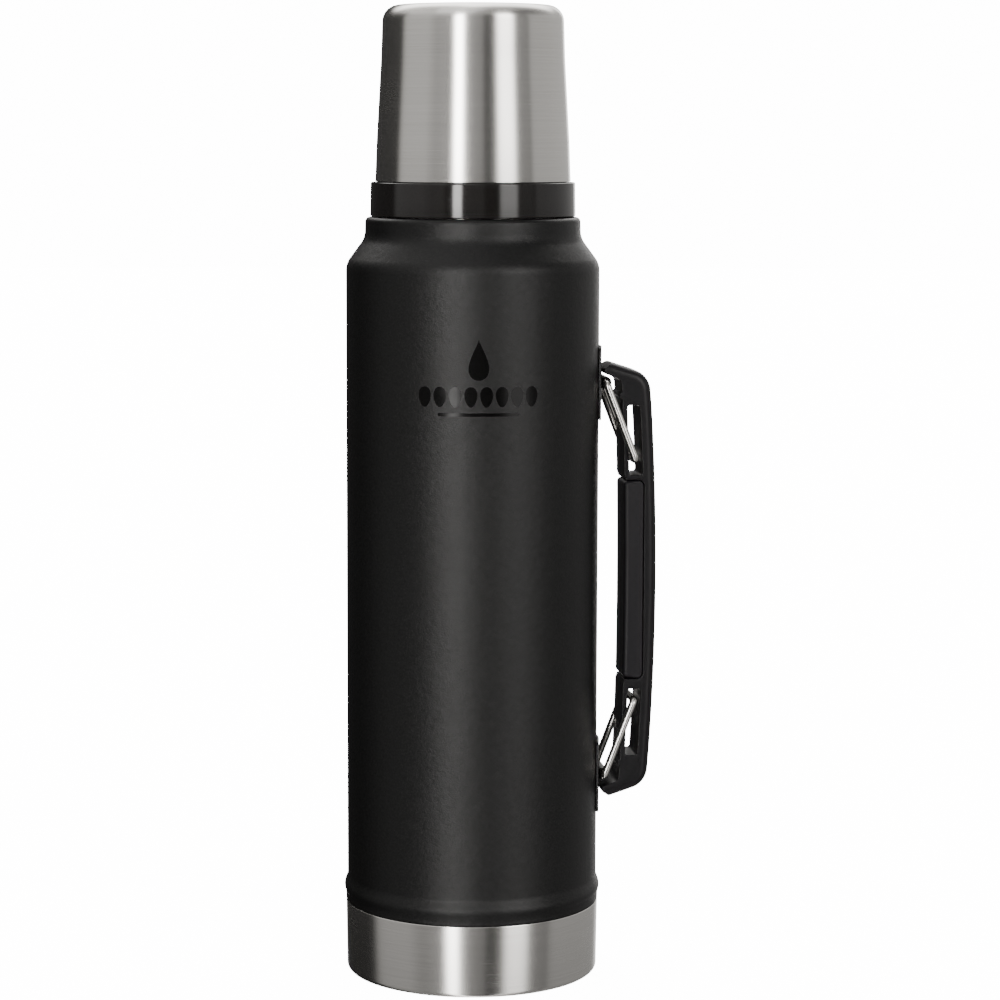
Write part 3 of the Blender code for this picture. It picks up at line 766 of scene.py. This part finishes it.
def build_handle(plastic):
    """Frame with crisp inner edges, its outside rounded by a softer outline, then the two windows."""
    inner_edge, outer_edge, window_edge = 0.3, 3.3, 0.45
    body = slab_mesh("handle_body", frame_outline(), HANDLE_HALF_WIDTH, lambda x, z: inner_edge, 4)
    pillow = slab_mesh("silhouette", silhouette_outline(), HANDLE_HALF_WIDTH, lambda x, z: outer_edge, 10)
    windows = [flared_cutter(window_outline(side), HANDLE_HALF_WIDTH, window_edge) for side in (-1.0, 1.0)]
    body = combined(body, [pillow], "INTERSECT")
    body = combined(body, windows)
    show("handle_body", body, plastic, "handle", ["handle_frame"])


def build_grip(rubber):
    """Insert between the windows, its inner face bowed and more rounded than its seam."""
    middle_r, end_r = 56.7, 56.4
    inner = [(middle_r - (middle_r - end_r) * (dz / GRIP_HALF) ** 2, dz, 0.0) for dz in range(30, -40, -10)]
    corners = [(SEAM_R, -GRIP_HALF, 2.2), (SEAM_R, GRIP_HALF, 2.2), (end_r, GRIP_HALF, 1.9)]
    corners += inner + [(end_r, -GRIP_HALF, 1.9)]
    outline = [(r, HANDLE_Z + dz) for r, dz in filleted(corners, 8)]

    def rounding(r, z):
        return 0.5 + 1.2 * min(1.0, max(0.0, (62.0 - r) / 3.0))

    grip = slab_mesh("grip_insert", outline, HANDLE_HALF_WIDTH + 0.15, rounding, 8)
    show("grip_insert", grip, rubber, "handle", ["handle_grip"])


def wire_path(side):
    """Centre line of a bail: pin, arm, crossbar, arm, pin."""
    pivot = Vector((PIVOT_R, 0.0, HANDLE_Z + side * PIVOT_UP))
    out = CROSSBAR_R - PIVOT_R
    arm = Vector((out, 0.0, -side * math.sqrt(BAIL_LENGTH ** 2 - out ** 2)))
    wide = Vector((0.0, BAIL_HALF, 0.0))
    pin_end = Vector((0.0, 2.6, 0.0))
    corners = [pivot + pin_end, pivot + wide, pivot + arm + wide,
               pivot + arm - wide, pivot - wide, pivot - pin_end]
    bend, steps = 1.8, 10
    points = [corners[0]]
    for before, corner, after in zip(corners, corners[1:], corners[2:]):
        back = (before - corner).normalized()
        ahead = (after - corner).normalized()
        half = back.angle(ahead) / 2.0
        centre = corner + (back + ahead).normalized() * (bend / math.sin(half))
        first = (corner + back * bend / math.tan(half) - centre).normalized()
        last = (corner + ahead * bend / math.tan(half) - centre).normalized()
        points += [centre + first.slerp(last, i / steps) * bend for i in range(steps + 1)]
    points.append(corners[-1])
    return points


def build_bail(name, node, side, body, material):
    """Round wire bent along its path."""
    curve = bpy.data.curves.new(name, "CURVE")
    curve.dimensions = "3D"
    curve.bevel_depth = WIRE_R
    curve.bevel_resolution = 10
    curve.use_fill_caps = True
    points = wire_path(side)
    spline = curve.splines.new("POLY")
    spline.points.add(len(points) - 1)
    for spline_point, point in zip(spline.points, points):
        spline_point.co = (*point, 1.0)
    mesh = evaluated(linked(name, curve))
    show(name, mesh, material, body, [node], sharp=60.0)


# Emblem ------------------------------------------------------------------------------------------

def build_emblem(material):
    """A plain drop over a row of grains and a short rule, printed gloss black on the shell."""
    middle_z, facing = 226.5, math.radians(-94.3)
    ink_thickness = 0.04
    grains, pitch = 8, 5.7
    rule_half, rule_low, rule_high = 15.0, -10.9, -9.7
    angles = [math.tau * i / 40 for i in range(40)]
    drop = [(5.4 * math.sin(angle) * math.sin(angle / 2.0) ** 1.6, 7.4 * math.cos(angle) + 9.5)
            for angle in angles]
    grain = [(2.3 * math.sin(angle) * (1.0 + 0.2 * math.cos(angle)), 3.7 * math.cos(angle) - 3.9)
             for angle in angles]
    middles = [(i - (grains - 1) / 2.0) * pitch for i in range(grains)]
    row = [[(middle + along, up) for along, up in grain] for middle in middles]
    rule = filleted([(-rule_half, rule_low, 0.5), (rule_half, rule_low, 0.5),
                     (rule_half, rule_high, 0.5), (-rule_half, rule_high, 0.5)], 4)
    cuts = range(-23, 24)
    mesh = wrapped_plate("emblem", [drop, *row, rule], cuts, BODY_R, ink_thickness, facing, middle_z)
    show("emblem", mesh, material, "flask")


# Studio ------------------------------------------------------------------------------------------

# The camera stands on the -Y side, a little towards -X. Its distance and height are metres.
CAMERA_AZIMUTH = math.radians(-7.0)
CAMERA_PITCH = math.radians(6.88)
CAMERA_DISTANCE = 1.1507
CAMERA_HEIGHT = 0.3185
CAMERA_ROLL = math.radians(0.1)
CAMERA_LENS = 110.6
CAMERA_SHIFT = 0.0276


def build_camera():
    """Long lens, looking slightly down at the bottle."""
    data = bpy.data.cameras.new("camera")
    data.lens = CAMERA_LENS
    data.sensor_width = 36.0
    data.shift_x = CAMERA_SHIFT
    data.clip_start = 0.01
    camera = linked("camera", data)
    place = Vector((CAMERA_DISTANCE * math.sin(CAMERA_AZIMUTH), -CAMERA_DISTANCE * math.cos(CAMERA_AZIMUTH),
                    CAMERA_HEIGHT))
    aim = (Matrix.Rotation(CAMERA_AZIMUTH, 4, "Z") @ Matrix.Rotation(math.pi / 2.0 - CAMERA_PITCH, 4, "X")
           @ Matrix.Rotation(CAMERA_ROLL, 4, "Z"))
    camera.matrix_world = Matrix.Translation(place) @ aim
    bpy.context.scene.camera = camera


def panel_direction(degrees):
    """Unit vector towards a panel; 0 is the camera's side and positive is to the right."""
    angle = CAMERA_AZIMUTH + math.radians(degrees)
    return (math.sin(angle), -math.cos(angle), 0.0)


# (middle, half width, soft edge, strength) of each upright panel, angles in degrees round the bottle
STRIP_PANELS = [(-17.3, 3.0, 3.0, 24.0), (40.8, 6.0, 7.0, 5.0)]
FILL_PANELS = [(-75.0, 17.0, 10.0, 0.66), (-42.0, 7.0, 6.0, 0.42), (2.0, 8.0, 5.0, 0.32),
               (60.0, 9.0, 5.0, 0.30), (120.0, 42.0, 8.0, 0.60), (166.0, 5.0, 5.0, 2.2)]
HIGH_PANELS = [(42.0, 6.0, 7.0, 9.0)]           # in front, seen only looking up
LOW_BACK_PANELS = [(180.0, 8.0, 8.0, 7.0)]      # behind, seen only looking down
TOP_BACK_PANELS = [(180.0, 30.0, 22.0, 5.0)]    # behind, joined to the ceiling
PANEL_AMBIENT = 0.05
CEILING = 0.62
CEILING_TILT = 0.6                              # how much darker the ceiling is on the right
WARM = (1.0, 0.985, 0.965)                      # shares of red, green and blue
BACKDROP = (15.0, 15.0, 15.0, 1.0)


def panel_light(book, level, panels):
    """Sum of the upright panels as seen in a level direction."""
    light = 0.0
    for middle, half, soft, strength in panels:
        toward = book.dot(level, panel_direction(middle))
        light = light + book.spread(toward, math.cos(math.radians(half + soft)),
                                    math.cos(math.radians(half)), 0.0, strength)
    return light


def build_world():
    """Studio that the bottle mirrors: upright panels, a ceiling, and white behind it for the camera."""
    world = bpy.data.worlds.new("studio")
    world.use_nodes = True
    bpy.context.scene.world = world
    book = NodeBook(world.node_tree)
    direction = book.node("ShaderNodeTexCoord", output="Generated")
    x, y, z = book.split(direction)             # z is 0 for a level direction and 1 straight up
    level = book.node("ShaderNodeVectorMath", {"operation": "NORMALIZE"}, {0: book.join(x, y, 0.0)})
    fills = (panel_light(book, level, FILL_PANELS) + PANEL_AMBIENT) * book.spread(z, -0.3, 0.03, 0.45, 1.0)
    strips = panel_light(book, level, STRIP_PANELS) * book.spread(z, -0.3, 0.03, 0.3, 1.0)
    high = panel_light(book, level, HIGH_PANELS) * book.spread(z, 0.12, 0.32, 0.0, 1.0)
    low_back = panel_light(book, level, LOW_BACK_PANELS) * book.spread(z, -0.4, -0.25, 1.0, 0.0)
    upright = fills + strips + high + low_back
    toward_right = book.dot(direction, panel_direction(90.0))
    ceiling = CEILING - toward_right * CEILING_TILT + panel_light(book, level, TOP_BACK_PANELS)
    overhead = book.spread(z, 0.34, 0.62, 0.0, 1.0)
    light = upright * (1.0 - overhead) + overhead * ceiling
    warm = book.node("ShaderNodeCombineColor", {"mode": "RGB"},
                     {channel: light * share for channel, share in enumerate(WARM)})
    seen = book.node("ShaderNodeLightPath", output="Is Camera Ray")
    background = world.node_tree.nodes["Background"]
    book.feed(background.inputs["Color"], book.blend(seen, warm, BACKDROP))


def build_floor():
    """White floor for the camera alone: the bottle doesn't mirror it and isn't lit by it."""
    finish = Finish("pale_floor", (0.86, 0.86, 0.86), 0.9, specular_ior_level=0.0,
                    emission_color=(1.0, 1.0, 1.0, 1.0), emission_strength=14.0)
    mottle = finish.noise(finish.place(), 9.0, 2.0)
    finish.set("Base Color", finish.blend(mottle, (0.85, 0.85, 0.85, 1.0), (0.87, 0.87, 0.87, 1.0)))
    bm = bmesh.new()
    bmesh.ops.create_circle(bm, cap_ends=True, radius=6.0, segments=96)
    mesh = bpy.data.meshes.new("floor")
    bm.to_mesh(mesh)
    bm.free()
    mesh.materials.append(finish.material)
    floor = linked("floor", mesh)
    floor.visible_glossy = False
    floor.visible_diffuse = False
    floor.visible_shadow = False


def build_softbox():
    """One soft lamp above and in front, aimed at the upper body. Its places are metres."""
    data = bpy.data.lights.new("top_softbox", "AREA")
    data.shape = "RECTANGLE"
    data.size = 0.9
    data.size_y = 0.9
    data.energy = 1.5
    light = linked("top_softbox", data)
    light.location = (-0.35, -0.5, 1.35)
    target = Vector((0.0, 0.0, 0.25))
    light.rotation_euler = (target - light.location).to_track_quat("-Z", "Y").to_euler()


def repaint(materials):
    """Give each CAD node that stays its finish."""
    for node, material in materials.items():
        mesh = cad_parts[node].data
        mesh.materials.clear()
        mesh.materials.append(material)


def main():
    """Make the finishes, then every piece, then the studio."""
    paint = powder_coat()
    brushed = brushed_steel("brushed_steel", (0.67, 0.655, 0.63), 0.26)
    bare = brushed_steel("bare_steel", (0.60, 0.59, 0.575), 0.36, along=40.0, across=3800.0)
    wire = drawn_wire()
    gloss = gloss_plastic()
    satin = moulded_plastic("satin_plastic", (0.0030, 0.0026, 0.0033), 0.38)
    soft = moulded_plastic("soft_grip", (0.0045, 0.0038, 0.0050), 0.46, grain_scale=3400.0, relief=0.22)
    ring = silicone()
    foam = cellular("insulating_foam", (0.72, 0.66, 0.50), scale=1800.0, roughness=0.9)
    getter = cellular("getter_powder", (0.20, 0.20, 0.21), scale=4200.0, roughness=0.65, metallic=1.0)
    ink = print_black()

    build_camera()
    build_outer_shell(paint)
    build_steel_base(brushed)
    build_neck(bare)
    build_bracket("upper_bracket_plate", "bracket_upper", HANDLE_Z + PIVOT_UP, paint)
    build_bracket("lower_bracket_plate", "bracket_lower", HANDLE_Z - PIVOT_UP, paint)
    build_plug(satin)
    build_knob(satin)
    build_cup_wall(brushed)
    build_cup_lining(gloss)
    build_handle(satin)
    build_grip(soft)
    build_bail("upper_wire", "bail_upper", 1.0, "upper_bail", wire)
    build_bail("lower_wire", "bail_lower", -1.0, "lower_bail", wire)
    build_emblem(ink)
    repaint({"inner_flask": bare, "vacuum_base_plate": bare, "getter_holder": bare, "getter_pellet": getter,
             "stopper_foam": foam, "stopper_oring": ring, "stopper_seal": ring, "cup_seal": ring})
    build_world()
    build_floor()
    build_softbox()


main()
